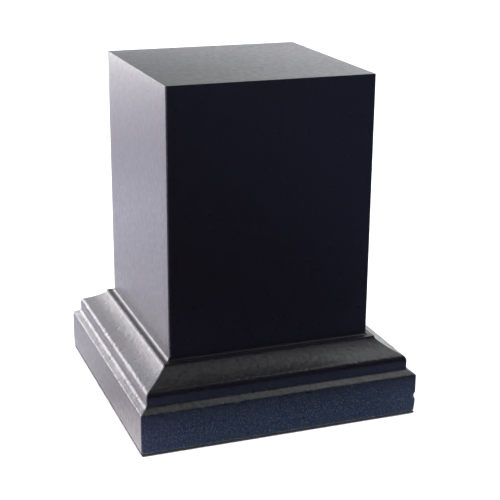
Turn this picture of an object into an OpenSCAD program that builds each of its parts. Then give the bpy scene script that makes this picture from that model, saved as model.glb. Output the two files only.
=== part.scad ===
// Small square display plinth: a hollow mitred case of thin board, glued up
// round four corner blocks and a floor, standing on a moulded base of two
// boards. Four long screws and two dowels come up through the base into the
// case floor, and a felt liner covers the screw heads.
// The origin is the middle of the underside, where the felt meets the table.

/* [Case] */
// Width and depth of the square case
case_w = 80; // [64:1:140]
// Height of the case above the base
case_h = 102; // [60:1:200]
// Thickness of the five case panels
panel_t = 9; // [6:0.5:10]
// Thickness of the floor glued into the bottom of the case
floor_t = 12; // [10:0.5:18]
// Side of the square blocks glued into the four upright corners
block_w = 13; // [8:0.5:14]
// Width of the flat planed off each block's inner edge
block_flat = 5; // [1:0.5:7]

/* [Base] */
// How far the foot stands out from the case on each side
foot_out = 15.1; // [13.5:0.1:20]
// Thickness of the foot board
foot_t = 17.1; // [14:0.1:25]
// Height of the slope round the top of the foot board
foot_slope_h = 1.9; // [1:0.1:4]
// Radius round the bottom edge of the foot board
foot_edge_r = 0.5; // [0.3:0.1:2]
// Thickness of the moulded board between foot and case
cove_t = 11.4; // [11.3:0.1:12.4]
// How far the moulded board stands out from the case on each side
cove_out = 12.2; // [11.5:0.1:12.4]

/* [Moulding] */
// Width of the flat ledge between the case and the cove
ledge_w = 2.7; // [2.4:0.1:3.5]
// Height of the small step that edges the ledge
ledge_step = 0.8; // [0.4:0.1:1]
// Height of the upright band below the lip
band_h = 3.3; // [2.5:0.1:3.4]
// Radius of the rounded lip
lip_r = 2.4; // [2:0.1:2.5]
// Slope of the moulding where the lip turns into the cove, in degrees
lip_slope = 22; // [16:1:22]

/* [Fixings] */
// Thread diameter of the screws
screw_d = 4; // [3.5:0.5:4.5]
// Distance of the screws from the inside faces of the case
screw_edge = 9; // [6:0.5:11]
// Diameter of the dowels
dowel_d = 6; // [5:1:8]
// Distance of the dowels from the inside faces of the case
dowel_edge = 8; // [6:0.5:10]
// Depth of the dowels in the foot board and in the case floor
dowel_depth = 8; // [5:0.5:8]
// Thickness of the felt liner
felt_t = 1.2; // [0.5:0.1:2]
// Distance of the felt's edge from the side of the foot
felt_inset = 0.3; // [0.3:0.1:8]

/* [Hidden] */
$fn = 64;

// Heights above the table
foot_z = felt_t;
cove_z = foot_z + foot_t;
case_z = cove_z + cove_t;
top_z = case_z + case_h;

// Half widths
case_half = case_w / 2;
inner_half = case_half - panel_t;
foot_half = case_half + foot_out;
cove_half = case_half + cove_out;

// The lip's centre, and the direction from it to where the cove starts
lip_x = cove_half - lip_r;
lip_z = band_h;
turn_dir = [cos(90 - lip_slope), sin(90 - lip_slope)];
turn = [lip_x, lip_z] + lip_r * turn_dir;
// The cove's upper end, under the step, as seen from where the cove starts
cove_end = [case_half + ledge_w, cove_t - ledge_step];
cove_chord = cove_end - turn;
// The cove is the arc that leaves the lip smoothly and reaches its upper end
cove_r = (cove_chord * cove_chord) / (2 * cove_chord * turn_dir);
cove_centre = turn + cove_r * turn_dir;

// Screws: the holes they pass through, and the countersunk heads. They stop
// just short of the case floor's upper face.
clear_d = screw_d + 0.5;
pilot_d = screw_d + 0.1;
head_d = 2 * screw_d;
head_h = 2.6;
head_sink = 0.3;
head_fit = 0.1;
screw_l = foot_t + cove_t + floor_t - head_sink - 0.6;
shank_d = 0.78 * screw_d;
core_d = 0.66 * screw_d;
tip_l = 3;
thread_l = 20;
thread_pitch = 1.8;
// One ridge of the thread: diameters, and heights as shares of the pitch
ridge = [[core_d, 0.1], [screw_d, 0.5], [core_d, 0.9]];
// Cross recess in the screw heads
recess_w = 1.1;
recess_l = 4.4;
recess_depth = 1.8;
// Room for glue past each end of a dowel, and the dowels' eased ends
dowel_gap = 0.6;
dowel_ease = 0.8;
// How far a cutting shape runs past the face that it cuts
over = 1;

// Extrudes an outline of half widths and heights along X and along Y, and
// keeps what both hold: a square board with its edge profile mitred at the
// four corners.
module square_board() {
  intersection() {
    rotate([90, 0, 0]) linear_extrude(height = 4 * foot_half, center = true) children();
    rotate([90, 0, 90]) linear_extrude(height = 4 * foot_half, center = true) children();
  }
}

// Puts a copy of its children at the four screws
module at_screws() {
  reach = inner_half - screw_edge;
  for (x = [-reach, reach], y = [-reach, reach])
    translate([x, y, 0]) children();
}

// Puts a copy of its children at the two dowels
module at_dowels() {
  reach = inner_half - dowel_edge;
  for (x = [-reach, reach])
    translate([x, 0, 0]) children();
}

// One upright panel, at the front, mitred at both upright edges and at the top
module case_panel() {
  color("#232428")
  intersection() {
    translate([0, 0, case_z])
      linear_extrude(height = case_h)
        polygon([
          [-case_half, -case_half],
          [case_half, -case_half],
          [inner_half, -inner_half],
          [-inner_half, -inner_half]
        ]);
    rotate([90, 0, 90])
      linear_extrude(height = 2 * case_w, center = true)
        polygon([
          [-case_half, case_z],
          [-inner_half, case_z],
          [-inner_half, top_z - panel_t],
          [-case_half, top_z]
        ]);
  }
}

module front_panel() {
  case_panel();
}

module right_panel() {
  rotate([0, 0, 90]) case_panel();
}

module rear_panel() {
  rotate([0, 0, 180]) case_panel();
}

module left_panel() {
  rotate([0, 0, 270]) case_panel();
}

// The top, mitred all round into the four upright panels
module top_panel() {
  color("#2b2c31")
  square_board()
    polygon([
      [-inner_half, top_z - panel_t],
      [inner_half, top_z - panel_t],
      [case_half, top_z],
      [-case_half, top_z]
    ]);
}

// One glue block in the front left corner, from the floor up to the top panel
module corner_block() {
  color("burlywood")
  translate([-inner_half, -inner_half, case_z + floor_t])
    linear_extrude(height = case_h - floor_t - panel_t)
      polygon([
        [0, 0],
        [block_w, 0],
        [block_w, block_w - block_flat],
        [block_w - block_flat, block_w],
        [0, block_w]
      ]);
}

module corner_block_front_left() {
  corner_block();
}

module corner_block_front_right() {
  rotate([0, 0, 90]) corner_block();
}

module corner_block_rear_right() {
  rotate([0, 0, 180]) corner_block();
}

module corner_block_rear_left() {
  rotate([0, 0, 270]) corner_block();
}

// The floor of the case, which takes the screws and the dowels
module case_floor() {
  color("#a98b66")
  difference() {
    translate([-inner_half, -inner_half, case_z])
      cube([2 * inner_half, 2 * inner_half, floor_t]);
    at_screws()
      translate([0, 0, case_z - over])
        cylinder(h = floor_t + 2 * over, d = pilot_d);
    at_dowels()
      translate([0, 0, case_z - over])
        cylinder(h = over + dowel_depth + dowel_gap, d = dowel_d);
  }
}

// Half of the moulded board's outline: ledge, cove, lip and upright band
module cove_outline() {
  square([cove_end[0], cove_t]);
  difference() {
    polygon([
      [0, 0],
      [turn[0], 0],
      turn,
      cove_end,
      [0, cove_end[1]]
    ]);
    translate(cove_centre) circle(r = cove_r, $fn = 180);
  }
  translate([lip_x, lip_z]) circle(r = lip_r);
  square([cove_half, lip_z]);
}

// The moulded board, with clear holes for the screws and the dowels
module cove_board() {
  color("#26272c")
  translate([0, 0, cove_z])
  difference() {
    square_board() {
      cove_outline();
      mirror([1, 0]) cove_outline();
    }
    at_screws()
      translate([0, 0, -over]) cylinder(h = cove_t + 2 * over, d = clear_d);
    at_dowels()
      translate([0, 0, -over]) cylinder(h = cove_t + 2 * over, d = dowel_d);
  }
}

// Half of the foot board's outline: rounded bottom edge, upright face, slope
module foot_outline() {
  polygon([
    [0, 0],
    [foot_half - foot_edge_r, 0],
    [foot_half - foot_edge_r, foot_edge_r],
    [foot_half, foot_edge_r],
    [foot_half, foot_t - foot_slope_h],
    [cove_half, foot_t],
    [0, foot_t]
  ]);
  translate([foot_half - foot_edge_r, foot_edge_r]) circle(r = foot_edge_r);
}

// The foot board, countersunk from below for the screws
module foot_board() {
  color("#232428")
  translate([0, 0, foot_z])
  difference() {
    square_board() {
      foot_outline();
      mirror([1, 0]) foot_outline();
    }
    at_screws() {
      translate([0, 0, -over]) cylinder(h = foot_t + 2 * over, d = clear_d);
      translate([0, 0, -over]) cylinder(h = over + head_sink, d = head_d);
      translate([0, 0, head_sink]) cylinder(h = head_h, d1 = head_d, d2 = clear_d);
    }
    at_dowels()
      translate([0, 0, foot_t - dowel_depth - dowel_gap])
        cylinder(h = dowel_depth + dowel_gap + over, d = dowel_d);
  }
}

// Two beech dowels with eased ends, from the foot up into the case floor
module locating_dowels() {
  dowel_l = cove_t + 2 * dowel_depth;
  color("#d9b382")
  at_dowels()
    translate([0, 0, cove_z - dowel_depth]) {
      cylinder(h = dowel_ease, d1 = dowel_d - 2 * dowel_ease, d2 = dowel_d);
      translate([0, 0, dowel_ease]) cylinder(h = dowel_l - 2 * dowel_ease, d = dowel_d);
      translate([0, 0, dowel_l - dowel_ease])
        cylinder(h = dowel_ease, d1 = dowel_d, d2 = dowel_d - 2 * dowel_ease);
    }
}

// Half outline of a screw, head down: head, plain shank, ridges and tip
module screw_outline() {
  thread_start = screw_l - tip_l - thread_l;
  ridges = floor(thread_l / thread_pitch);
  polygon(concat(
    [
      [0, 0],
      [(head_d - head_fit) / 2, 0],
      [shank_d / 2, head_h - head_fit],
      [shank_d / 2, thread_start]
    ],
    [for (i = [0 : ridges - 1], p = ridge)
      [p[0] / 2, thread_start + (i + p[1]) * thread_pitch]],
    [
      [core_d / 2, screw_l - tip_l],
      [0, screw_l]
    ]
  ));
}

// Four countersunk wood screws with a cross recess in the head
module base_screws() {
  color("#b9b6a8")
  at_screws()
    translate([0, 0, foot_z + head_sink])
      difference() {
        rotate_extrude() screw_outline();
        for (turn = [0, 90])
          rotate([0, 0, turn])
            translate([-recess_l / 2, -recess_w / 2, -over])
              cube([recess_l, recess_w, over + recess_depth]);
      }
}

// Felt glued under the foot, set in a little from its sides
module felt_liner() {
  felt_half = foot_half - felt_inset;
  color("#1c1f1d")
  translate([-felt_half, -felt_half, 0])
    cube([2 * felt_half, 2 * felt_half, felt_t]);
}

front_panel();
rear_panel();
left_panel();
right_panel();
top_panel();
corner_block_front_left();
corner_block_front_right();
corner_block_rear_left();
corner_block_rear_right();
case_floor();
cove_board();
foot_board();
locating_dowels();
base_screws();
felt_liner();
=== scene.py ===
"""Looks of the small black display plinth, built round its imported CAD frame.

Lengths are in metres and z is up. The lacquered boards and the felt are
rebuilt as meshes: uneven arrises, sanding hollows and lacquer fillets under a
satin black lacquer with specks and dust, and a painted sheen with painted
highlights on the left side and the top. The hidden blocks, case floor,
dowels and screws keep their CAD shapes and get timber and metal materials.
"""

import math

import bmesh
import bpy
import numpy as np
from mathutils import Matrix, Vector, noise
from mathutils.geometry import tessellate_polygon

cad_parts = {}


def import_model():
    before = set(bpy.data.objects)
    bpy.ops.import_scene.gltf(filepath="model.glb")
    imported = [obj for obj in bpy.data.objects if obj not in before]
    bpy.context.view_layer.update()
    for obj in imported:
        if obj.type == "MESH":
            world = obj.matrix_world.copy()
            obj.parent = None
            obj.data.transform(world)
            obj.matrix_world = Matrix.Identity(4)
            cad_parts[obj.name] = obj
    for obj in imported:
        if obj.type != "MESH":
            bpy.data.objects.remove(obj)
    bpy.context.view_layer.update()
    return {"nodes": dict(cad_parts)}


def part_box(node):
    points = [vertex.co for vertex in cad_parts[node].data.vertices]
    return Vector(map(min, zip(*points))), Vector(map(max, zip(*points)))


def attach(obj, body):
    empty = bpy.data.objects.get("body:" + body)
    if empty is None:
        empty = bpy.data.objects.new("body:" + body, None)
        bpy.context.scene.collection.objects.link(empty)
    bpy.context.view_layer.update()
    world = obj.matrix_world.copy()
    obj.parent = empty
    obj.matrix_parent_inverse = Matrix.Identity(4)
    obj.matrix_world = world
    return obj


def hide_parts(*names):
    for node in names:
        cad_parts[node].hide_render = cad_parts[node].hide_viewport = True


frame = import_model()

MM = 0.001

# Sizes read from the frame
CASE_LOW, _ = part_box("front_panel")
_, CASE_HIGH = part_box("top_panel")
CASE_HALF = CASE_HIGH.x
INNER_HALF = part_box("case_floor")[1].x
CASE_BOTTOM, CASE_TOP = CASE_LOW.z, CASE_HIGH.z
PANEL = CASE_HALF - INNER_HALF
COVE_LOW, COVE_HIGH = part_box("cove_board")
FOOT_LOW, FOOT_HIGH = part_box("foot_board")
FELT_LOW, FELT_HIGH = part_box("felt_liner")
COVE_HALF, FOOT_HALF = COVE_HIGH.x, FOOT_HIGH.x
_, SCREW_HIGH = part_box("base_screws")
DOWEL_LOW, DOWEL_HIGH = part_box("locating_dowels")

# The moulding's outline, as the CAD model draws it
LEDGE_W = 2.7 * MM
LEDGE_STEP = 0.8 * MM
BAND_H = 3.3 * MM
LIP_R = 2.4 * MM
LIP_SLOPE = 22
FOOT_SLOPE_H = 1.9 * MM
FOOT_EDGE_R = 0.5 * MM

# Screws and dowels
HEAD_D = 8 * MM
HEAD_PLAY = 0.1 * MM
HEAD_SINK = 0.3 * MM
HEAD_H = 2.6 * MM
CLEAR_D = 4.5 * MM
DOWEL_D = 6 * MM
DOWEL_GAP = 0.6 * MM
SCREW_REACH = SCREW_HIGH.x - (HEAD_D - HEAD_PLAY) / 2
DOWEL_REACH = DOWEL_HIGH.x - DOWEL_D / 2

# Material slots of a lacquered piece
LACQUERED, RAW = 0, 1


# ---------------------------------------------------------------- fields

# Size, depth and seed of the waves that sanding left in the faces
LONG_WAVES = (14 * MM, 0.03 * MM, 1.0)
SHORT_WAVES = (4 * MM, 0.012 * MM, 2.0)


def field(points, size, seed):
    """A smooth random field over the points, about -1 to 1, with lumps of that size."""
    shift = Vector((seed, 2 * seed, 3 * seed))
    values = [noise.noise(Vector(p) / size + shift) for p in points.reshape(-1, 3)]
    return np.array(values).reshape(points.shape[:-1])


def waves(points, size, depth, seed):
    """How far a wavy face lies under the flat, from 0 to about depth."""
    return depth * (1 + field(points, size, seed)) / 2


def hollows(points):
    """How far the lacquered faces lie under the flat."""
    return waves(points, *LONG_WAVES) + waves(points, *SHORT_WAVES)


def smoothstep(x):
    """0 up to 0, 1 from 1, and a soft rise between them."""
    x = np.clip(x, 0, 1)
    return x * x * (3 - 2 * x)


# ---------------------------------------------------------------- mesh building

class Skin:
    """Vertices, faces and marks of one piece while it is being built.

    The marks are wear (rubbed or dusty lacquer) and a pale haze, which is partly dust and partly painted
    sheen and highlights on the left side and the top.
    """

    def __init__(self):
        self.points = []
        self.faces = []
        self.slots = []
        self.marks = {"wear": [], "film": []}

    def add_points(self, points, **marks):
        """Adds points in an array of any shape; gives their vertex numbers in that shape."""
        points = np.asarray(points, float)
        first = len(self.points)
        shape = points.shape[:-1]
        self.points.extend(map(tuple, points.reshape(-1, 3)))
        for name, values in self.marks.items():
            values.extend(np.broadcast_to(marks.get(name, 0.0), shape).reshape(-1))
        return np.arange(first, len(self.points)).reshape(shape)

    def add_face(self, corners, slot=LACQUERED):
        """Adds a face with those vertex numbers."""
        self.faces.append([int(c) for c in corners])
        self.slots.append(slot)

    def add_grid(self, index, slots=None, closed=False):
        """Quads between the rows of a grid of vertex numbers; closed joins each row's ends."""
        rows, columns = index.shape
        steps = range(columns if closed else columns - 1)
        for i in range(rows - 1):
            slot = LACQUERED if slots is None else slots[i]
            for j in steps:
                k = (j + 1) % columns
                self.add_face((index[i, j], index[i, k], index[i + 1, k], index[i + 1, j]), slot)

    def add_fill(self, loops, up, slot):
        """Fills a flat region between an outer loop and the loops of its holes."""
        spots = [[Vector(self.points[c]) for c in loop] for loop in loops]
        numbers = [c for loop in loops for c in loop]
        for a, b, c in tessellate_polygon(spots):
            p, q, r = (Vector(self.points[numbers[k]]) for k in (a, b, c))
            turned = (q - p).cross(r - p).z
            order = (a, b, c) if (turned > 0) == up else (a, c, b)
            self.add_face([numbers[k] for k in order], slot)

    def build(self, name, materials, sharp=35):
        """The finished piece, shaded smooth except across edges sharper than that angle."""
        mesh = bpy.data.meshes.new(name)
        mesh.from_pydata(self.points, [], self.faces)
        for material in materials:
            mesh.materials.append(material)
        mesh.polygons.foreach_set("material_index", self.slots)
        for mark, values in self.marks.items():
            layer = mesh.attributes.new(mark, "FLOAT", "POINT")
            layer.data.foreach_set("value", np.array(values, np.float32))
        mesh.validate()
        shell = bmesh.new()
        shell.from_mesh(mesh)
        bmesh.ops.recalc_face_normals(shell, faces=shell.faces)
        shell.to_mesh(mesh)
        shell.free()
        mesh.shade_smooth()
        mesh.set_sharp_from_angle(angle=math.radians(sharp))
        piece = bpy.data.objects.new(name, mesh)
        bpy.context.scene.collection.objects.link(piece)
        return piece


def arc(centre, radius, start, end, steps):
    """Points (half width, height) along an arc, with angles in degrees."""
    angles = np.radians(np.linspace(start, end, steps + 1))
    return [(centre[0] + radius * math.cos(a), centre[1] + radius * math.sin(a)) for a in angles]


def line(start, end, steps):
    """Points (half width, height) along a straight line."""
    return [tuple(p) for p in np.linspace(start, end, steps + 1)]


# ---------------------------------------------------------------- materials

def rgb(red, green, blue):
    """An opaque colour."""
    return (red, green, blue, 1.0)


# Lacquer: tones of the black, tints of the specks, of rubbed lacquer and of the pale haze, which is partly
# dust and partly painted sheen and highlights
PLUM_BLACK = rgb(0.001, 0.0006, 0.0017)
BROWN_BLACK = rgb(0.003, 0.0014, 0.0014)
BLUE_BLACK = rgb(0.001, 0.0012, 0.0021)
BLUE_SPECK = rgb(0.012, 0.03, 0.068)
GREEN_SPECK = rgb(0.034, 0.042, 0.036)
RUBBED = rgb(0.024, 0.026, 0.024)
COOL_DUST_AND_SHEEN = rgb(0.078, 0.082, 0.098)
WARM_DUST_AND_SHEEN = rgb(0.097, 0.083, 0.094)
# Specks are thickest below the first height, and almost gone above the second
SPECKS_FULL, SPECKS_GONE = 8 * MM, 22 * MM
SPECKS_LEAST = 0.03

PALE_BOARD, DARK_BOARD = rgb(0.47, 0.33, 0.2), rgb(0.33, 0.21, 0.12)
PALE_PINE, DARK_PINE = rgb(0.66, 0.48, 0.28), rgb(0.45, 0.27, 0.13)
PALE_BEECH, DARK_BEECH = rgb(0.6, 0.4, 0.24), rgb(0.45, 0.27, 0.15)
PINE_RING, BEECH_RING = 2.2 * MM, 1.2 * MM
# How much longer the grain is than it is wide
GRAIN_STRETCH = 30
YELLOW_ZINC, PALE_ZINC = rgb(0.55, 0.53, 0.46), rgb(0.66, 0.65, 0.6)
DARK_FELT, PALE_FELT = rgb(0.004, 0.005, 0.007), rgb(0.014, 0.016, 0.02)
FLOOR_GREY = rgb(0.86, 0.86, 0.86)


class Graph:
    """A node tree, with short ways to add and link nodes."""

    def __init__(self, tree):
        self.tree = tree
        self.coordinates = self.add("ShaderNodeTexCoord").outputs

    def feed(self, socket, value):
        """Links an output to the socket, or sets the socket to a plain value."""
        if isinstance(value, bpy.types.NodeSocket):
            self.tree.links.new(value, socket)
        else:
            socket.default_value = value

    def add(self, kind, inputs=(), **settings):
        """Adds a node; inputs are by name or number, and settings are its properties."""
        node = self.tree.nodes.new(kind)
        for name, value in settings.items():
            setattr(node, name, value)
        for name, value in dict(inputs).items():
            self.feed(node.inputs[name], value)
        return node

    def axis(self, name, coordinates="Object"):
        """One coordinate of the place on the object, or of another set of coordinates."""
        return self.add("ShaderNodeSeparateXYZ", {"Vector": self.coordinates[coordinates]}).outputs[name]

    def mapped(self, value, low, high, to_low=0.0, to_high=1.0):
        """The value, with low to high spread onto to_low to to_high, and kept inside them."""
        inputs = {"Value": value, "From Min": low, "From Max": high, "To Min": to_low, "To Max": to_high}
        return self.add("ShaderNodeMapRange", inputs).outputs[0]

    def mix(self, factor, a, b, mode="MIX"):
        """Mixes two colours; sockets 0, 6 and 7 and output 2 are those of the node's colour mode."""
        node = self.add("ShaderNodeMix", data_type="RGBA", blend_type=mode)
        self.feed(node.inputs[0], factor)
        self.feed(node.inputs[6], a)
        self.feed(node.inputs[7], b)
        return node.outputs[2]

    def ramp(self, value, low, high, stops):
        """A colour ramp over a value from low to high; stops are (value, colour)."""
        node = self.add("ShaderNodeValToRGB", {0: self.mapped(value, low, high)})
        elements = node.color_ramp.elements
        while len(elements) < len(stops):
            elements.new(1.0)
        for element, (at, color) in zip(elements, stops):
            element.position = (at - low) / (high - low)
            element.color = rgb(*color)
        return node.outputs[0]


class Surface(Graph):
    """A material's node tree round its Principled shader."""

    def __init__(self, name):
        self.material = bpy.data.materials.new(name)
        self.material.use_nodes = True
        super().__init__(self.material.node_tree)
        self.shader = self.tree.nodes["Principled BSDF"]

    def mark(self, name):
        """One of the marks that the mesh carries."""
        return self.add("ShaderNodeAttribute", attribute_name=name).outputs["Fac"]

    def noise(self, size, detail=2.0, stretch=(1, 1, 1), **more):
        """Noise, about 0.3 to 0.7, with lumps of that size, stretched along the axes."""
        scale = [1 / (size * s) for s in stretch]
        place = self.add("ShaderNodeMapping", {"Vector": self.coordinates["Object"], "Scale": scale})
        inputs = {"Vector": place.outputs[0], "Scale": 1.0, "Detail": detail, **more}
        return self.add("ShaderNodeTexNoise", inputs).outputs["Fac"]

    def patches(self, size, detail, between=(0.3, 0.7), onto=(0.0, 1.0)):
        """Noise whose values between the first two bounds are spread onto the other two."""
        return self.mapped(self.noise(size, detail), *between, *onto)

    def times(self, a, b):
        """The product of two values."""
        return self.add("ShaderNodeMath", {0: a, 1: b}, operation="MULTIPLY").outputs[0]

    def bump(self, height, distance, **more):
        """Normals of a surface whose height of 1 stands for that distance."""
        return self.add("ShaderNodeBump", {"Height": height, "Distance": distance, **more}).outputs[0]

    def finish(self, **sockets):
        """Feeds the shader; an underscore in a name stands for a space."""
        for name, value in sockets.items():
            self.feed(self.shader.inputs[name.replace("_", " ")], value)
        return self.material


def mottled_black(n):
    """Near black, faintly mottled with plum, brown and blue."""
    warm = n.mix(n.noise(5 * MM, 3), PLUM_BLACK, BROWN_BLACK)
    return n.mix(n.patches(4 * MM, 3, between=(0.4, 0.75), onto=(0, 0.8)), warm, BLUE_BLACK)


def specked(n, color):
    """The colour with fine pale specks, in patches and mostly low down."""
    low_down = n.mapped(n.axis("Z"), SPECKS_FULL, SPECKS_GONE, 1.0, SPECKS_LEAST)
    patches = n.times(low_down, n.patches(2.2 * MM, 2, between=(0.35, 0.65), onto=(0.7, 1.15)))
    specks = n.times(n.patches(0.58 * MM, 1, between=(0.48, 0.69)), patches)
    tint = n.mix(n.patches(1.1 * MM, 1, between=(0.45, 0.55)), BLUE_SPECK, GREEN_SPECK)
    return n.mix(specks, color, tint)


def rubbed(n, color):
    """The colour, paler in patches where the mesh is marked as worn."""
    patchy = n.patches(1.3 * MM, 3, between=(0.35, 0.7), onto=(0.25, 1.0))
    return n.mix(n.times(n.mark("wear"), patchy), color, RUBBED)


def dusted_and_sheened(n, color):
    """The colour under a grainy pale haze where the mesh carries the haze mark: partly dust, partly painted
    sheen and highlights on the left side and the top.
    """
    uneven = n.times(n.patches(0.9 * MM, 3, onto=(0.45, 1.3)), n.patches(3 * MM, 4, onto=(0.7, 1.0)))
    tint = n.mix(n.patches(7 * MM, 3, between=(0.4, 0.6)), COOL_DUST_AND_SHEEN, WARM_DUST_AND_SHEEN)
    return n.mix(n.times(n.mark("film"), uneven), color, tint)


def lacquer():
    """Satin black lacquer with specks, rubbed arrises, dust, a painted sheen with painted highlights on the
    left and the top, and a faint orange peel.
    """
    n = Surface("black_lacquer")
    color = dusted_and_sheened(n, rubbed(n, specked(n, mottled_black(n))))
    rough = n.patches(2.2 * MM, 4, onto=(0.27, 0.36))
    grain = n.bump(n.noise(0.9 * MM, 4), 0.016 * MM)
    peel = n.bump(n.noise(1.2 * MM, 2), 0.015 * MM, Normal=grain)
    return n.finish(Base_Color=color, Roughness=rough, Normal=peel, IOR=1.5)


def raw_board():
    """Bare medium-density fibreboard."""
    n = Surface("raw_board")
    color = n.mix(n.noise(0.5 * MM, 6), DARK_BOARD, PALE_BOARD)
    fibres = n.bump(n.noise(0.25 * MM, 4), 0.03 * MM)
    return n.finish(Base_Color=color, Roughness=0.85, Normal=fibres)


def timber(name, pale, dark, ring):
    """Straight wood, its grain upright, with growth rings of that width and fine pores."""
    n = Surface(name)
    stretch = (1, 1, GRAIN_STRETCH)
    rings = n.noise(ring, 2, stretch, Distortion=0.6)
    pores = n.noise(ring * 0.15, 4, stretch)
    tone = n.mix(n.mapped(rings, 0.35, 0.65), pale, dark)
    color = n.mix(n.mapped(pores, 0.55, 0.75, 0, 0.35), tone, dark)
    return n.finish(Base_Color=color, Roughness=0.7, Normal=n.bump(pores, 0.05 * MM))


def zinc():
    """Zinc-plated steel, with the faint yellow of its passivation."""
    n = Surface("zinc_plate")
    color = n.mix(n.noise(1.5 * MM, 3), YELLOW_ZINC, PALE_ZINC)
    rough = n.patches(0.4 * MM, 3, onto=(0.28, 0.45))
    dimples = n.bump(n.noise(0.2 * MM), 0.01 * MM)
    return n.finish(Base_Color=color, Roughness=rough, Metallic=1.0, Normal=dimples)


def felt():
    """Thin black wool felt: matted fibres and a soft sheen."""
    n = Surface("black_felt")
    fibres = n.noise(0.35 * MM, 6, Distortion=1.5)
    color = n.mix(fibres, DARK_FELT, PALE_FELT)
    nap = n.bump(fibres, 0.25 * MM)
    return n.finish(Base_Color=color, Roughness=0.95, Normal=nap, Sheen_Weight=0.1, Sheen_Roughness=0.6)


LACQUER = lacquer()
RAW_BOARD = raw_board()


def dress_cad_nodes():
    """Timber and metal for the pieces that keep their CAD shapes."""
    looks = {
        "corner_block": timber("pine", PALE_PINE, DARK_PINE, PINE_RING),
        "case_floor": RAW_BOARD,
        "locating_dowels": timber("beech", PALE_BEECH, DARK_BEECH, BEECH_RING),
        "base_screws": zinc(),
    }
    for name, node in frame["nodes"].items():
        for start, material in looks.items():
            if name.startswith(start):
                for slot in node.material_slots:
                    slot.material = material


# ---------------------------------------------------------------- case panels

# Rounding of the case's arrises and how it varies, and the height at the bottom where it doesn't
ARRIS_R = 0.12 * MM
ARRIS_SPREAD = 0.3
ARRIS_LUMPS = (5 * MM, 4.0)
EVEN_H = 3 * MM
# Worn spots: what they add to the rounding, where they lie, and the least of the field that makes one
WORN_R = 0.5 * MM
WORN_LUMPS = (1.6 * MM, 5.0)
WORN_FROM = 0.42
# How far a direction leans off the axes where an arris counts as fully worn
WORN_LEAN = 0.25
# How far the faces fall off at their arrises, and where that starts
EASE_DEPTH = 0.07 * MM
EASE_W = 5 * MM
# Dust and a painted sheen on the top: the most of both, the right side's share of the painted sheen, and
# the dust's patches
DUST_AND_SHEEN_MOST = 0.85
SHEEN_RIGHT = 0.7
DUST_SPREAD = 0.08
DUST_LUMPS = (20 * MM, 10.0)
# Painted sheen on the left of the case: its least, the height below which it grows, and how deep its strip
# is
SHEEN_LEAST = 0.4
SHEEN_H = 14 * MM
SHEEN_DEPTH = 0.5 * MM
# Grid lines of a panel: their spacing, and their places near an arris
GRID = 1.0 * MM
NEAR_ARRIS = [step * MM for step in (0, 0.04, 0.08, 0.13, 0.2, 0.3, 0.46, 0.75, 1.25, 2.0)]
# Depth of the middle row of a panel's bottom edge, as a share of the panel
MIDDLE_ROW = 0.6
# Rows of that edge that the lacquer reaches, counted from the arris
LACQUERED_ROWS = 6


def from_both_ends(length):
    """Grid lines from 0 to length, fine near both ends."""
    near = NEAR_ARRIS[-1]
    count = round((length - 2 * near) / GRID)
    middle = np.linspace(near, length - near, count + 1)
    return np.concatenate([NEAR_ARRIS[:-1], middle, length - np.array(NEAR_ARRIS[-2::-1])])


def arris_radius(points):
    """The rounding of the case's arrises: uneven, with a few worn spots, but even at the bottom."""
    worn = np.clip(field(points, *WORN_LUMPS) - WORN_FROM, 0, 1)
    uneven = ARRIS_R * (1 + ARRIS_SPREAD * field(points, *ARRIS_LUMPS)) + WORN_R * worn
    low = smoothstep(1 - (points[..., 2] - CASE_BOTTOM) / EVEN_H)
    return uneven * (1 - low) + ARRIS_R * low


def easing(points):
    """How far the case's faces fall off towards their arrises, from hand sanding."""
    gaps = CASE_HALF - np.abs(points[..., 0]), CASE_HALF - np.abs(points[..., 1]), CASE_TOP - points[..., 2]
    to_arris = np.sort(np.stack(gaps, -1), -1)[..., 1]
    return EASE_DEPTH * np.clip(1 - to_arris / EASE_W, 0, 1) ** 2


def top_dust_and_sheen(points):
    """A painted sheen on the top that grows towards the back and the right, mottled by dust in patches."""
    across, along = points[..., 0] / CASE_HALF, points[..., 1] / CASE_HALF
    painted_sheen = ((along + 1) / 2) ** 2 + SHEEN_RIGHT * ((across + 1) / 2) ** 2
    return DUST_AND_SHEEN_MOST * np.clip(painted_sheen + DUST_SPREAD * field(points, *DUST_LUMPS), 0, 1)


def left_case_sheen(points):
    """Painted sheen on the left of the case, strongest low down."""
    left = points[..., 0] < -CASE_HALF + SHEEN_DEPTH
    low_down = smoothstep(1 - (points[..., 2] - CASE_BOTTOM) / SHEEN_H)
    return left * (SHEEN_LEAST + (1 - SHEEN_LEAST) * low_down)


def rounded_case(points):
    """Moves points of the sharp case onto the rounded one; gives their places and wear."""
    radius = arris_radius(points)[..., None]
    low = np.array((-CASE_HALF, -CASE_HALF, CASE_BOTTOM)) + radius
    high = np.array((CASE_HALF, CASE_HALF, CASE_TOP)) - radius
    core = np.clip(points, low, high)
    out = points - core
    out /= np.linalg.norm(out, axis=-1, keepdims=True)
    moved = core + (radius - (hollows(points) + easing(points))[..., None]) * out
    lean = 1 - np.abs(out).max(-1)
    return moved, smoothstep(lean / WORN_LEAN)


def quarter_turns(points, turns):
    """The points turned about the vertical through the middle."""
    return points @ np.array(Matrix.Rotation(turns * math.pi / 2, 3, "Z")).T


def finish_board(skin, name):
    """Builds a lacquered piece and puts it in the place of its CAD node."""
    piece = skin.build(name + "_lacquered", [LACQUER, RAW_BOARD])
    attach(piece, "root")
    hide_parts(name)


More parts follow.
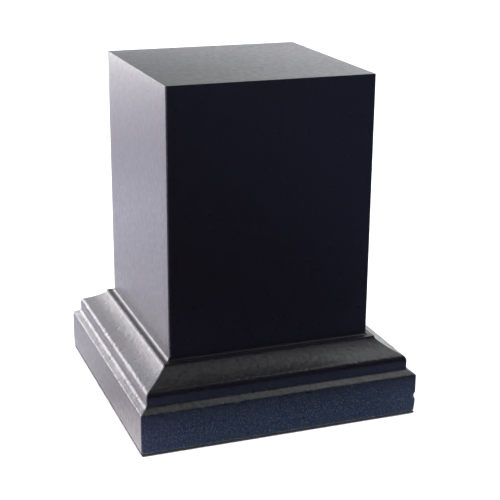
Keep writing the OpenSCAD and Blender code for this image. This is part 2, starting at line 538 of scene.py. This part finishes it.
def upright_panel(name, turns):
    """One upright panel, drawn at the front and turned into place, mitred at both sides and the top."""
    across = from_both_ends(2 * CASE_HALF) / CASE_HALF - 1
    heights = CASE_BOTTOM + from_both_ends(CASE_TOP - CASE_BOTTOM)
    depths = CASE_HALF - np.concatenate([[PANEL, PANEL * MIDDLE_ROW], np.array(NEAR_ARRIS[:0:-1])])
    rows = [(d, d, CASE_BOTTOM) for d in depths] + [(CASE_HALF, CASE_HALF, z) for z in heights]
    sharp = np.array([[(half * s, -y, z) for s in across] for half, y, z in rows])
    sharp = quarter_turns(sharp, turns)
    moved, wear = rounded_case(sharp)
    moved[0] = sharp[0]
    skin = Skin()
    # The left face gets a painted sheen, strongest low down.
    outer = skin.add_points(moved, wear=wear, film=left_case_sheen(moved))
    raw_rows = len(depths) - LACQUERED_ROWS
    skin.add_grid(outer, slots=[RAW if i < raw_rows else LACQUERED for i in range(len(rows) - 1)])
    inner_top = CASE_TOP - PANEL
    ends = np.array([(-INNER_HALF, -INNER_HALF, inner_top), (INNER_HALF, -INNER_HALF, inner_top)])
    left, right = skin.add_points(quarter_turns(ends, turns))
    skin.add_face([*outer[::-1, 0], left], RAW)
    skin.add_face([*outer[:, -1], right], RAW)
    skin.add_face([*outer[-1], right, left], RAW)
    skin.add_face([*outer[0, ::-1], left, right], RAW)
    finish_board(skin, name)


def top_panel(name):
    """The top, mitred all round into the upright panels."""
    across = from_both_ends(2 * CASE_HALF) - CASE_HALF
    sharp = np.array([[(x, y, CASE_TOP) for x in across] for y in across])
    moved, wear = rounded_case(sharp)
    skin = Skin()
    # The top gets a painted sheen that grows towards the back and the right, mottled by dust in patches.
    outer = skin.add_points(moved, wear=wear, film=top_dust_and_sheen(moved))
    skin.add_grid(outer)
    corners = [(-1, -1), (1, -1), (1, 1), (-1, 1)]
    inner = skin.add_points([(x * INNER_HALF, y * INNER_HALF, CASE_TOP - PANEL) for x, y in corners])
    edges = [outer[0], outer[:, -1], outer[-1, ::-1], outer[::-1, 0]]
    for k, edge in enumerate(edges):
        skin.add_face([*edge[::-1], inner[k], inner[(k + 1) % 4]], RAW)
    skin.add_face(inner[::-1], RAW)
    finish_board(skin, name)


# ---------------------------------------------------------------- moulded boards

# Points along each side and round each corner of a loft, and the half width of the flat faces that close it
PER_SIDE = 200
PER_CORNER = 8
CAP_HALF = 38 * MM
# Least length that a direction is divided by
SHORTEST = 1e-12
# Sides of the circle that a hole is
HOLE_SIDES = 32
# Rounding of the upright corners, what the foot's bottom adds to it, and up to what height
CORNER_R = 0.5 * MM
LOW_CORNER_R = 0.8 * MM
LOW_CORNER_H = 5 * MM
# Radius of the lacquer fillet between slope and band; it pooled thicker on the left
FILLET_R = 1.6 * MM
LEFT_FILLET_R = 2.8 * MM
# How far the fillet's upper end lies behind the band
TUCK = 0.18 * MM
# Angle at which the rounded lip starts, in degrees
LIP_START = 4
# Width and height of the lacquer fillet between case and ledge, and how far it goes on behind the face
BEAD_W = 1.3 * MM
BEAD_H = 1.5 * MM
BEAD_BEHIND = 0.1 * MM
# Rounding of the ledge's edge and of the foot's shoulder
STEP_R = 0.25 * MM
SHOULDER_R = 0.5 * MM
# Small easings of the outlines: under the band and at its foot, at the foot of the step, on the ledge,
# at the start of the slope, and inside the fillet
UNDER_EASE = 0.2 * MM
BAND_EASE = 0.05 * MM
STEP_EASE_W, STEP_EASE_H = 0.1 * MM, 0.12 * MM
LEDGE_EASE = 0.6 * MM
SLOPE_EASE = 0.3 * MM
HAIR = 0.02 * MM
# Ragged lacquer on routed edges: size, depth and seed of its ripples, then lumps with finer grit on them
RIPPLES = (4.5 * MM, 0.09 * MM, 6.0)
LUMP_DEPTH = 0.17 * MM
LUMPS = (1.7 * MM, 7.0)
GRIT = (0.8 * MM, 8.0)
GRIT_SHARE = 0.35
# A chip in the foot's right front corner: its height over the felt, reach and depth
CHIP_H = 6.5 * MM
CHIP_REACH = 1.5 * MM
CHIP_DEPTH = 0.7 * MM
# How far a direction leans left where a face starts to count as left, and how much more makes it fully so
LEFT_FROM = 0.2
LEFT_SPAN = 0.3
# Painted sheen on the left of the foot and moulding: where it starts, and the length over which it grows
# towards the front
SHEEN_Y = 10 * MM
SHEEN_LENGTH = 50 * MM
# Its most on the outermost strip of the foot, the width of that strip, and its most inside it
FOOT_SHEEN = 0.15
FOOT_FACE_W = 1 * MM
COVE_SHEEN = 0.9
# Painted highlights on the left, as pale bands along the slope and along the lip: height, reach up and
# down, and strength
SLOPE_HIGHLIGHT = (FOOT_HIGH.z + 0.8 * MM, 4.4 * MM, 1.0)
LIP_HIGHLIGHT = (COVE_LOW.z + BAND_H + LIP_R, 2.6 * MM, 0.6)
# Pale dots along the foot's bottom arris: the height they reach, where they lie, and how sharp they are
DOTS_H = 0.45 * MM
DOT_LUMPS = (1.1 * MM, 12.0)
DOT_CONTRAST = 4
DOT_FROM = 0.4
# Height part of an outward direction below which a face belongs to the underside
UNDERSIDE = -0.85


def square_loop(per_side, per_corner):
    """A rounded square as two arrays: where each point's corner centre lies, and its outward direction."""
    anchors, outs = [], []
    for side in range(4):
        turn = Matrix.Rotation(side * math.pi / 2, 2)
        for t in np.linspace(-1, 1, per_side):
            anchors.append(turn @ Vector((1, t)))
            outs.append(turn @ Vector((1, 0)))
        for k in range(1, per_corner):
            angle = math.pi / 2 * k / per_corner
            anchors.append(turn @ Vector((1, 1)))
            outs.append(turn @ Vector((math.cos(angle), math.sin(angle))))
    return np.array(anchors), np.array(outs)


def with_normals(outline):
    """An outline that runs from the bottom up, as rows of half width, height and outward direction."""
    points = np.array(outline)
    along = np.gradient(points, axis=0)
    normals = np.stack([along[:, 1], -along[:, 0]], 1)
    normals /= np.maximum(np.linalg.norm(normals, axis=1, keepdims=True), SHORTEST)
    return np.concatenate([points, normals], 1)


def loft(outline, left_outline, corner_r):
    """Places and outward directions all round a square board's edge, row by row up its outline."""
    anchors, outs = square_loop(PER_SIDE, PER_CORNER)
    leftness = smoothstep(-outs[:, 0])[None, :, None]
    rows = (1 - leftness) * with_normals(outline)[:, None] + leftness * with_normals(left_outline)[:, None]
    half, height, out_half, out_height = np.split(rows, 4, 2)
    round_r = np.asarray(corner_r)[:, None, None]
    place = np.concatenate([(half - round_r) * anchors + round_r * outs, height], 2)
    return place, np.concatenate([out_half * outs, out_height], 2)


def sunk_by(place, ragged, dents):
    """How far sanding, ragged lacquer and dents sink the places on the edge of a board."""
    size, depth, seed = RIPPLES
    lumps = field(place, *LUMPS) + GRIT_SHARE * field(place, *GRIT)
    sunk = hollows(place) * (ragged > 0)
    sunk += waves(place, size, depth * np.sqrt(ragged), seed)
    sunk += LUMP_DEPTH * ragged * np.clip(lumps, 0, 1)
    for at, reach, dent_depth in dents:
        near = np.linalg.norm(place - np.array(at), axis=2) / reach
        sunk += dent_depth * np.clip(1 - near ** 2, 0, 1)
    return sunk


def stripe(points, height, reach, strength):
    """A level stripe of that strength at a height, gone at reach above and below it."""
    return strength * smoothstep(1 - np.abs(points[..., 2] - height) / reach)


def left_sheen_and_rim_dots(points, out):
    """Painted sheen and painted highlights on the left of the foot and moulding, and pale dots along the
    foot's bottom arris.
    """
    left = smoothstep((-out[..., 0] - LEFT_FROM) / LEFT_SPAN)
    most = np.where(points[..., 0] < -FOOT_HALF + FOOT_FACE_W, FOOT_SHEEN, COVE_SHEEN)
    front = smoothstep((SHEEN_Y - points[..., 1]) / SHEEN_LENGTH) * most
    highlights = stripe(points, *SLOPE_HIGHLIGHT) + stripe(points, *LIP_HIGHLIGHT)
    rim = (points[..., 2] < FOOT_LOW.z + DOTS_H) & (out[..., 2] > UNDERSIDE)
    pale_dots = rim * np.clip(DOT_CONTRAST * field(points, *DOT_LUMPS) - DOT_FROM, 0, 1)
    return np.maximum(left * np.clip(front + highlights, 0, 1), pale_dots)


def add_holes(skin, holes, low):
    """The walls of the holes, which all open upwards; gives their rims in the bottom and top faces."""
    low_rims, high_rims = [], []
    angles = np.linspace(0, 2 * math.pi, HOLE_SIDES, endpoint=False)
    for x, y, steps in holes:
        rings = []
        for radius, z in steps:
            ring = [x + radius * np.cos(angles), y + radius * np.sin(angles), np.full(HOLE_SIDES, z)]
            rings.append(skin.add_points(np.stack(ring, 1)))
        for lower, upper in zip(rings, rings[1:]):
            skin.add_grid(np.array([upper, lower]), slots=[RAW], closed=True)
        if steps[0][1] <= low:
            low_rims.append(rings[0])
        else:
            skin.add_face(rings[0], RAW)
        high_rims.append(rings[-1])
    return low_rims, high_rims


def moulded_board(name, outline, left_outline, finish, corner_r, holes, dents=()):
    """A square board lofted along its edge outline, with turned holes.

    left_outline is the outline that the left side has. finish is, for each
    outline point, how ragged the lacquer is there and how much pale dust lies
    in it. holes are (x, y, steps), where steps are (radius, z) from the bottom
    up. dents are (place, reach, depth).
    """
    ragged, dust = (values[:, None] for values in np.array(finish, float).T)
    place, out = loft(outline, left_outline, corner_r)
    place = place - out * sunk_by(place, ragged, dents)[..., None]
    skin = Skin()
    # The left of the foot and moulding gets a painted sheen and painted highlights; pale dots run along the
    # bottom arris.
    index = skin.add_points(place, wear=dust, film=left_sheen_and_rim_dots(place, out))
    skin.add_grid(index, closed=True)
    low_rims, high_rims = add_holes(skin, holes, outline[0][1])
    skin.add_fill([index[0], *low_rims], up=False, slot=RAW)
    skin.add_fill([index[-1], *high_rims], up=True, slot=RAW)
    finish_board(skin, name)


def spread(parts):
    """Joins the parts of an outline; gives its points, and (raggedness, dust) for each of them."""
    outline = [point for points, _, _ in parts for point in points]
    finish = [(ragged, dust) for points, ragged, dust in parts for _ in points]
    return outline, finish


def board_holes(screw_steps, dowel_steps):
    """The screw and dowel holes of a board, as (x, y, steps)."""
    reaches = (-SCREW_REACH, SCREW_REACH)
    holes = [(x, y, screw_steps) for x in reaches for y in reaches]
    return holes + [(x, 0, dowel_steps) for x in (-DOWEL_REACH, DOWEL_REACH)]


def hollow_arc(lip_centre, lip_end, foot_of_step):
    """The hollow cove: an arc that leaves the lip without a crease and ends at the step."""
    turn_dir = Vector((math.cos(math.radians(lip_end)), math.sin(math.radians(lip_end))))
    start = Vector(lip_centre) + LIP_R * turn_dir
    chord = foot_of_step - start
    radius = chord.length_squared / (2 * chord.dot(turn_dir))
    centre = start + radius * turn_dir
    ends = start - centre, foot_of_step - centre
    from_angle, to_angle = (math.degrees(math.atan2(p.y, p.x)) % 360 for p in ends)
    return arc(centre, radius, from_angle, to_angle, steps=22)[1:-1]


def cove_outline():
    """The moulding from its underside up: band, rounded lip, cove, small step, ledge and bead."""
    low, high = COVE_LOW.z, COVE_HIGH.z
    lip_centre = (COVE_HALF - LIP_R, low + BAND_H)
    lip_end = 90 - LIP_SLOPE
    step = Vector((CASE_HALF + LEDGE_W, high - LEDGE_STEP))
    behind = CASE_HALF - BEAD_BEHIND
    underside = [(CAP_HALF, low), (COVE_HALF - UNDER_EASE, low)]
    band = [(COVE_HALF, z) for z in np.linspace(low + BAND_EASE, low + BAND_H, 8)]
    step_foot = [(step.x + STEP_EASE_W, step.y), (step.x + HAIR, step.y + STEP_EASE_H)]
    ledge = [(x, high) for x in np.linspace(step.x - LEDGE_EASE, CASE_HALF + BEAD_W, 4)]
    bead = [(CASE_HALF + BEAD_W * x, high + BEAD_H * z) for x, z in arc((1, 1), 1, 270, 184, steps=9)]
    return spread([
        # points, raggedness, dust
        (underside, 0, 0),
        (band, 0.3, 0.1),
        (arc(lip_centre, LIP_R, LIP_START, lip_end, steps=14), 1.0, 0.0),
        (hollow_arc(lip_centre, lip_end, step), 0.35, 0.3),
        (step_foot, 0.6, 0.3),
        (arc((step.x - STEP_R, high - STEP_R), STEP_R, 0, 90, steps=4), 0.9, 0.0),
        (ledge, 0.2, 0.3),
        (bead[1:], 0.3, 0.0),
        ([(behind, high + 0.9 * BEAD_H), (behind, high), (CAP_HALF, high)], 0, 0),
    ])


def cove_board():
    """The moulded board under the case, with clearance holes for screws and dowels."""
    outline, finish = cove_outline()
    faces = (COVE_LOW.z, COVE_HIGH.z)
    holes = board_holes([(CLEAR_D / 2, z) for z in faces], [(DOWEL_D / 2, z) for z in faces])
    corner_r = np.full(len(outline), CORNER_R)
    moulded_board("cove_board", outline, outline, finish, corner_r, holes)


def foot_outline(fillet_r):
    """The foot from its underside up: bottom arris, face, shoulder, slope and lacquer fillet."""
    low, high = FOOT_LOW.z, FOOT_HIGH.z
    slope = math.atan2(FOOT_SLOPE_H, FOOT_HALF - COVE_HALF)
    slope_deg = math.degrees(slope)
    slope_foot = high - FOOT_SLOPE_H
    setback = SHOULDER_R * math.tan((math.pi / 2 - slope) / 2)
    shoulder = (FOOT_HALF - SHOULDER_R, slope_foot - setback)
    reach = fillet_r / math.tan((math.pi / 2 + slope) / 2)
    behind, level = COVE_HALF - TUCK, high + TUCK * math.tan(slope)
    inside = behind - HAIR
    face = [(FOOT_HALF, z) for z in np.linspace(low + FOOT_EDGE_R, shoulder[1], 20)[1:-1]]
    slope_start = (FOOT_HALF - SLOPE_EASE, slope_foot + SLOPE_EASE * math.tan(slope))
    slope_end = (behind + reach * math.cos(slope), level - reach * math.sin(slope))
    return spread([
        # points, raggedness, dust
        ([(CAP_HALF, low)], 0, 0),
        (arc((FOOT_HALF - FOOT_EDGE_R, low + FOOT_EDGE_R), FOOT_EDGE_R, 270, 360, steps=8), 0.8, 0.4),
        (face, 0.2, 0.0),
        (arc(shoulder, SHOULDER_R, 0, 90 - slope_deg, steps=5), 1.0, 0.0),
        (line(slope_start, slope_end, steps=5), 0.3, 0.5),
        (arc((behind + fillet_r, level + reach), fillet_r, 270 - slope_deg, 180, steps=12)[1:], 0.8, 0.0),
        ([(inside, high + reach / 2), (inside, high), (CAP_HALF, high)], 0, 0),
    ])


def foot_board():
    """The foot, with countersunk screw holes, blind dowel holes and one chipped corner."""
    low, high = FOOT_LOW.z, FOOT_HIGH.z
    outline, finish = foot_outline(FILLET_R)
    left_outline, _ = foot_outline(LEFT_FILLET_R)
    low_down = smoothstep(1 - (np.array([z for _, z in outline]) - low) / LOW_CORNER_H)
    corner_r = CORNER_R + LOW_CORNER_R * low_down
    sunk, neck = low + HEAD_SINK, low + HEAD_SINK + HEAD_H
    screw_steps = [(HEAD_D / 2, low), (HEAD_D / 2, sunk), (CLEAR_D / 2, neck), (CLEAR_D / 2, high)]
    dowel_steps = [(DOWEL_D / 2, z) for z in (DOWEL_LOW.z - DOWEL_GAP, high)]
    chips = [((FOOT_HALF, -FOOT_HALF, low + CHIP_H), CHIP_REACH, CHIP_DEPTH)]
    holes = board_holes(screw_steps, dowel_steps)
    moulded_board("foot_board", outline, left_outline, finish, corner_r, holes, chips)


# ---------------------------------------------------------------- felt

# Share of the felt's thickness that its soft edge takes, and the columns of its grid
FELT_EDGE = 0.35
FELT_COLUMNS = 70
# Size, depth and seed of the waves in the felt's underside
FELT_WAVES = (2.5 * MM, 0.04 * MM, 9.0)


def felt_sheet():
    """The thin felt glued under the foot, with soft cut edges."""
    half = FELT_HIGH.x
    edge = (FELT_HIGH.z - FELT_LOW.z) * FELT_EDGE
    lines = np.concatenate([[-half], np.linspace(-half + edge, half - edge, FELT_COLUMNS), [half]])
    top, under = (np.array([[(x, y, z) for x in lines] for y in lines]) for z in (FELT_HIGH.z, FELT_LOW.z))
    for layer, side in ((top, -1), (under, 1)):
        rim = np.maximum(np.abs(layer[..., 0]), np.abs(layer[..., 1])) > half - edge / 2
        layer[..., 2] += side * edge * rim
    under[..., 2] += waves(under, *FELT_WAVES)
    skin = Skin()
    upper = skin.add_points(top)
    lower = skin.add_points(under)
    skin.add_grid(upper)
    skin.add_grid(lower[:, ::-1])
    rims = [(0, slice(None)), (slice(None), -1), (-1, slice(None, None, -1)), (slice(None, None, -1), 0)]
    for rim in rims:
        skin.add_grid(np.array([lower[rim], upper[rim]]))
    piece = skin.build("felt_sheet", [felt()], sharp=60)
    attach(piece, "root")
    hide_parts("felt_liner")


# ---------------------------------------------------------------- camera and stage

# Where the camera looks from (degrees), what it looks at, how far off it is, and its lens (mm)
AZIMUTH, ELEVATION, ROLL = -20.53, 18.27, 0.484
AIM = Vector((6.55, 0, 55.22)) * MM
DISTANCE = 492.0 * MM
FOCAL_LENGTH = 87.89
SENSOR_W = 36
NEAREST_SEEN = 0.01

# Half width of the floor, and how far it lies under the felt's underside
FLOOR_REACH = 12.0
FLOOR_UNDER = 0.02 * MM

# Cards: how far they stretch, and each one's strength, height over the floor and gap to the foot
CARD_REACH = 3
FRONT_CARD_STRENGTH = 2.0
FRONT_CARD_H = 0.3 * MM
FRONT_CARD_GAP = 0.5 * MM
LEFT_CARD_STRENGTH = 11.25
LEFT_CARD_H = 0.2 * MM
LEFT_CARD_GAP = 0.3 * MM
# Front and back of the left card
LEFT_CARD_Y = (-0.1, 1.1)
# Depth of the front card's near part
NEAR_PART = 0.06

WORLD_STRENGTH = 2.1

# What the light panels face
MIDDLE = (0, 0, 0.05)
# The kind of ray that a panel is hidden from, so that only the other kind sees it
NOT_IN_GLOSS, ONLY_IN_GLOSS = "visible_glossy", "visible_diffuse"
LIGHTS = (
    # name, place, size, radiance, colour, hidden from
    ("overhead", (0.2, 0.4, 4.0), (13, 13), 1.85, (1.0, 1.0, 1.01), NOT_IN_GLOSS),
    ("front_fill", (-0.42, -1.13, 1.3), (1.7, 1.5), 4.5, (1.0, 1.0, 1.0), NOT_IN_GLOSS),
    ("under_fill", (0, 0, -0.4), (0.11, 0.11), 80.0, (1.0, 1.0, 1.0), NOT_IN_GLOSS),
    ("window", (-0.6, 1.18, 0.24), (0.66, 0.54), 6.9, (1.0, 0.95, 0.975), ONLY_IN_GLOSS),
    ("back_glow", (-0.12, 1.5, 0.72), (0.24, 0.5), 2.9, (0.97, 0.97, 1.03), ONLY_IN_GLOSS),
    ("ceiling", (0.78, 0.1, 1.05), (0.5, 0.8), 1.6, (0.97, 1.0, 1.03), ONLY_IN_GLOSS),
)


def camera():
    """The camera, at the angle from which the real object was seen."""
    azimuth, elevation, roll = (math.radians(a) for a in (AZIMUTH, ELEVATION, ROLL))
    lens = bpy.data.cameras.new("camera")
    lens.sensor_width = SENSOR_W
    lens.lens = FOCAL_LENGTH
    lens.clip_start = NEAREST_SEEN
    body = bpy.data.objects.new("camera", lens)
    flat = math.cos(elevation)
    back = Vector((math.sin(azimuth) * flat, -math.cos(azimuth) * flat, math.sin(elevation)))
    level = Vector((math.cos(azimuth), math.sin(azimuth), 0))
    up = back.cross(level)
    right = level * math.cos(roll) + up * math.sin(roll)
    above = -level * math.sin(roll) + up * math.cos(roll)
    turn = Matrix((right, above, back)).transposed().to_4x4()
    body.matrix_world = Matrix.Translation(AIM + DISTANCE * back) @ turn
    bpy.context.scene.collection.objects.link(body)
    bpy.context.scene.camera = body


def level_sheet(name, x_range, y_range, height, material):
    """One level face, looking up."""
    (left, right), (front, back) = x_range, y_range
    skin = Skin()
    corners = [(left, front, height), (right, front, height), (right, back, height), (left, back, height)]
    skin.add_face(skin.add_points(corners))
    return skin.build(name, [material])


def floor():
    """A plain pale floor that is clear from below and casts no shadow on the underside."""
    n = Surface("pale_floor")
    n.finish(Base_Color=FLOOR_GREY, Roughness=0.8)
    below = n.add("ShaderNodeNewGeometry").outputs["Backfacing"]
    clear = n.add("ShaderNodeBsdfTransparent").outputs[0]
    mixed = n.add("ShaderNodeMixShader", {0: below, 1: n.shader.outputs[0], 2: clear})
    n.feed(n.tree.nodes["Material Output"].inputs["Surface"], mixed.outputs[0])
    reach = (-FLOOR_REACH, FLOOR_REACH)
    piece = level_sheet("floor", reach, reach, -FLOOR_UNDER, n.material)
    piece.visible_shadow = False


def emptied(owner):
    """The node tree of a material or a world, with nothing in it."""
    owner.use_nodes = True
    owner.node_tree.nodes.clear()
    return Graph(owner.node_tree)


def card(name, x_range, y_range, height, strength, paint):
    """A glowing card just over the floor that only the lacquer's gloss sees.

    paint(graph) gives the socket of its colour.
    """
    material = bpy.data.materials.new(name)
    g = emptied(material)
    glow = g.add("ShaderNodeEmission", {"Color": paint(g), "Strength": strength})
    g.add("ShaderNodeOutputMaterial", {"Surface": glow.outputs[0]})
    piece = level_sheet(name, x_range, y_range, height, material)
    piece.visible_camera = False
    piece.visible_diffuse = False
    piece.visible_shadow = False
    piece.visible_transmission = False


def front_card():
    """Dark in front and bluer on the right, with a bluish near edge that is lighter at both ends."""
    near = -FOOT_HALF - FRONT_CARD_GAP

    def paint(g):
        across = g.axis("X")
        distant = g.ramp(across, -0.2, 0.2, [
            (-0.08, (0.035, 0.04, 0.08)),
            (-0.01, (0.025, 0.016, 0.035)),
            (0.08, (0.022, 0.015, 0.03)),
            (0.13, (0.055, 0.07, 0.17)),
            (0.2, (0.065, 0.085, 0.2)),
        ])
        beside = g.ramp(across, -0.1, 0.1, [
            (-0.055, (0.25, 0.31, 0.68)),
            (-0.03, (0.13, 0.2, 0.43)),
            (0.035, (0.11, 0.19, 0.4)),
            (0.075, (0.24, 0.33, 0.63)),
        ])
        nearness = g.ramp(g.axis("Y"), near - NEAR_PART, near, [
            (near - 0.055, (0, 0, 0)),
            (near - 0.014, (1, 1, 1)),
        ])
        return g.mix(nearness, distant, beside)

    x_range, y_range = (-CARD_REACH, CARD_REACH), (-CARD_REACH, near)
    card("front_card", x_range, y_range, FRONT_CARD_H, FRONT_CARD_STRENGTH, paint)


def left_card():
    """The pale floor on the left as the left faces mirror it, lit by the window at its far end."""
    side = -FOOT_HALF - LEFT_CARD_GAP

    def paint(g):
        away = g.ramp(g.axis("Y"), *LEFT_CARD_Y, [
            (-0.06, (0.29, 0.271, 0.286)),
            (0.0, (0.15, 0.139, 0.154)),
            (0.05, (0.203, 0.193, 0.217)),
            (0.12, (0.198, 0.192, 0.226)),
            (0.17, (0.197, 0.191, 0.23)),
            (0.25, (0.232, 0.225, 0.271)),
            (0.4, (0.165, 0.161, 0.198)),
            (0.65, (0.213, 0.207, 0.233)),
            (1.0, (0.533, 0.513, 0.533)),
        ])
        beside = g.ramp(g.axis("X"), -0.5, side, [
            (-0.42, (1.0, 1.0, 1.0)),
            (-0.22, (0.667, 0.667, 0.667)),
            (side - 0.005, (0.667, 0.667, 0.667)),
            (side, (0.8, 0.8, 0.8)),
        ])
        return g.mix(1.0, away, beside, "MULTIPLY")

    card("left_card", (-CARD_REACH, side), LEFT_CARD_Y, LEFT_CARD_H, LEFT_CARD_STRENGTH, paint)


def lights():
    """Soft panels: the first three light the floor and the dust, the others show only in the gloss."""
    for name, place, size, radiance, color, hidden_from in LIGHTS:
        light = bpy.data.lights.new(name, "AREA")
        light.shape = "RECTANGLE"
        light.size, light.size_y = size
        light.energy = radiance * math.pi * size[0] * size[1]
        light.color = color
        panel = bpy.data.objects.new(name, light)
        panel.location = place
        panel.rotation_euler = (Vector(place) - Vector(MIDDLE)).to_track_quat("Z", "Y").to_euler()
        panel.visible_camera = False
        setattr(panel, hidden_from, False)
        bpy.context.scene.collection.objects.link(panel)


def world():
    """Soft surroundings for the gloss: bright behind, dim in front, darkest just right of the middle."""
    surroundings = bpy.data.worlds.new("surroundings")
    bpy.context.scene.world = surroundings
    surroundings.cycles_visibility.diffuse = False
    g = emptied(surroundings)
    front_to_back = g.ramp(g.axis("Y", "Generated"), -1, 1, [
        (-1.0, (0.03, 0.035, 0.06)),
        (-0.6, (0.05, 0.055, 0.09)),
        (-0.3, (0.28, 0.28, 0.3)),
        (0.0, (0.42, 0.42, 0.43)),
        (0.5, (0.8, 0.81, 0.81)),
        (1.0, (0.85, 0.87, 0.86)),
    ])
    left_to_right = g.ramp(g.axis("X", "Generated"), -1, 1, [
        (-1.0, (0.63, 0.61, 0.67)),
        (-0.1, (0.61, 0.6, 0.65)),
        (0.12, (0.37, 0.37, 0.39)),
        (0.24, (0.35, 0.36, 0.37)),
        (0.34, (0.55, 0.55, 0.565)),
        (0.44, (0.69, 0.69, 0.71)),
        (1.0, (0.9, 0.9, 0.92)),
    ])
    color = g.mix(1.0, front_to_back, left_to_right, "MULTIPLY")
    back = g.add("ShaderNodeBackground", {"Color": color, "Strength": WORLD_STRENGTH})
    g.add("ShaderNodeOutputWorld", {"Surface": back.outputs[0]})


# ---------------------------------------------------------------- build

camera()
for turns, panel in enumerate(("front_panel", "right_panel", "rear_panel", "left_panel")):
    upright_panel(panel, turns)
top_panel("top_panel")
cove_board()
foot_board()
felt_sheet()
dress_cad_nodes()
floor()
front_card()
left_card()
lights()
world()
bpy.context.scene.view_settings.view_transform = "Standard"
